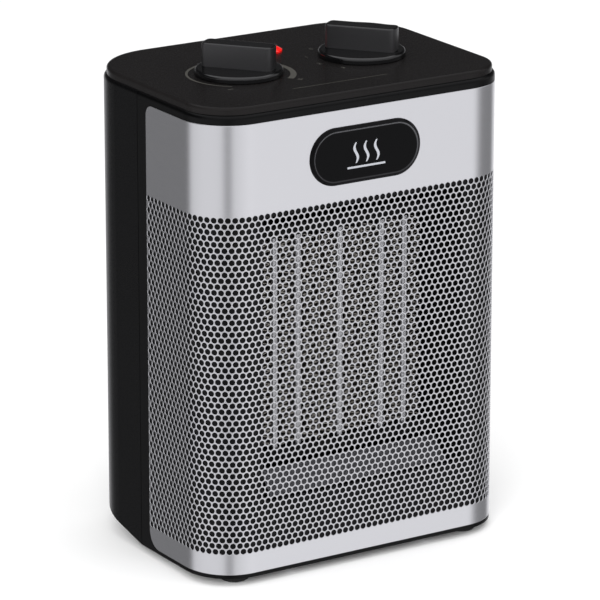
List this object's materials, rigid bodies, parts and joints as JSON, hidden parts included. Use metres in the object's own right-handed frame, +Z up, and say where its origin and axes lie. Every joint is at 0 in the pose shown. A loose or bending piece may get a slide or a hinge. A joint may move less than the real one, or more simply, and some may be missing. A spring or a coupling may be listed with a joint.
{
  "type": "ceramic space heater",
  "caption": "Free-standing ceramic fan heater: upright black case, wrap-round perforated steel grille, round-skirted thermostat and selector knobs and a red pilot light on top.",
  "frame": {"origin": "on the floor under the middle of the case", "axes": "+Z up, the grille faces -Y, +X to the right of someone facing the grille"},
  "size_m": [0.1764, 0.1324, 0.259],
  "materials": {
    "case_plastic": "fine satin texture",
    "panel_plastic": "fine matt texture",
    "knob_plastic": "satin",
    "badge_plastic": "gloss",
    "grille_steel": "satin stainless, punched",
    "inner_plastic": "matt",
    "element_aluminium": "satin",
    "fin_aluminium": "matt",
    "heating_ceramic": "matt ceramic",
    "sill_metal": "satin",
    "fan_plastic": "satin",
    "motor_steel": "satin",
    "zinc_steel": "zinc plated",
    "copper_winding": "enamelled",
    "bearing_bronze": "satin",
    "terminal_brass": "satin",
    "control_plastic": "matt",
    "spindle_plastic": "satin",
    "lens_red": "clear red, gloss",
    "lamp_glass": "clear",
    "foot_rubber": "matt"
  },
  "bodies": {
    "housing": {"main_housing": "case_plastic", "front_frame": "case_plastic", "rear_cover": "case_plastic", "rear_guard": "case_plastic", "control_panel": "panel_plastic", "base_plate": "case_plastic", "front_grille": "grille_steel", "badge_plate": "badge_plastic", "outlet_duct": "inner_plastic", "contact_bars": "element_aluminium", "ptc_stones": "heating_ceramic", "heater_fins": "fin_aluminium", "element_frame_top": "inner_plastic", "element_frame_bottom": "inner_plastic", "sill_deflector": "sill_metal", "thermal_cutout": "zinc_steel", "thermal_fuse": "control_plastic", "fan_shroud": "inner_plastic", "motor_stator": "motor_steel", "motor_coil": "copper_winding", "motor_brackets": "zinc_steel", "motor_bearings": "bearing_bronze", "motor_screws": "zinc_steel", "thermostat_body": "control_plastic", "thermostat_blade": "terminal_brass", "switch_body": "control_plastic", "switch_terminals": "terminal_brass", "pilot_lens": "lens_red", "neon_lamp": "lamp_glass", "tip_over_switch": "control_plastic", "plunger_spring": "zinc_steel", "rubber_feet": "foot_rubber", "base_screws": "zinc_steel", "rear_cover_screws": "zinc_steel", "cable_gland": "foot_rubber", "terminal_block": "control_plastic", "terminal_screws": "terminal_brass"},
    "thermostat_dial": {"thermostat_knob": "knob_plastic", "thermostat_spindle": "spindle_plastic"},
    "selector_dial": {"selector_knob": "knob_plastic", "selector_spindle": "spindle_plastic"},
    "fan_rotor": {"fan_impeller": "fan_plastic", "motor_shaft": "zinc_steel", "motor_rotor": "motor_steel"},
    "tip_over_button": {"tip_over_plunger": "inner_plastic"}
  },
  "joints": [
    {"name": "thermostat_turn", "type": "hinge", "parent": "housing", "child": "thermostat_dial", "pos_m": [-0.036, -0.006, 0.25], "axis": [0, 0, 1], "range_deg": [0, 280]},
    {"name": "selector_turn", "type": "hinge", "parent": "housing", "child": "selector_dial", "pos_m": [0.036, -0.006, 0.25], "axis": [0, 0, 1], "range_deg": [0, 96]},
    {"name": "fan_spin", "type": "hinge", "parent": "housing", "child": "fan_rotor", "pos_m": [0, 0, 0.1145], "axis": [0, 1, 0], "continuous": true},
    {"name": "tip_over_release", "type": "slide", "parent": "housing", "child": "tip_over_button", "axis": [0, 0, -1], "range_m": [0, 0.004], "stiffness_N_per_m": 120, "springref_m": 0.008, "deforming": ["plunger_spring"]}
  ]
}
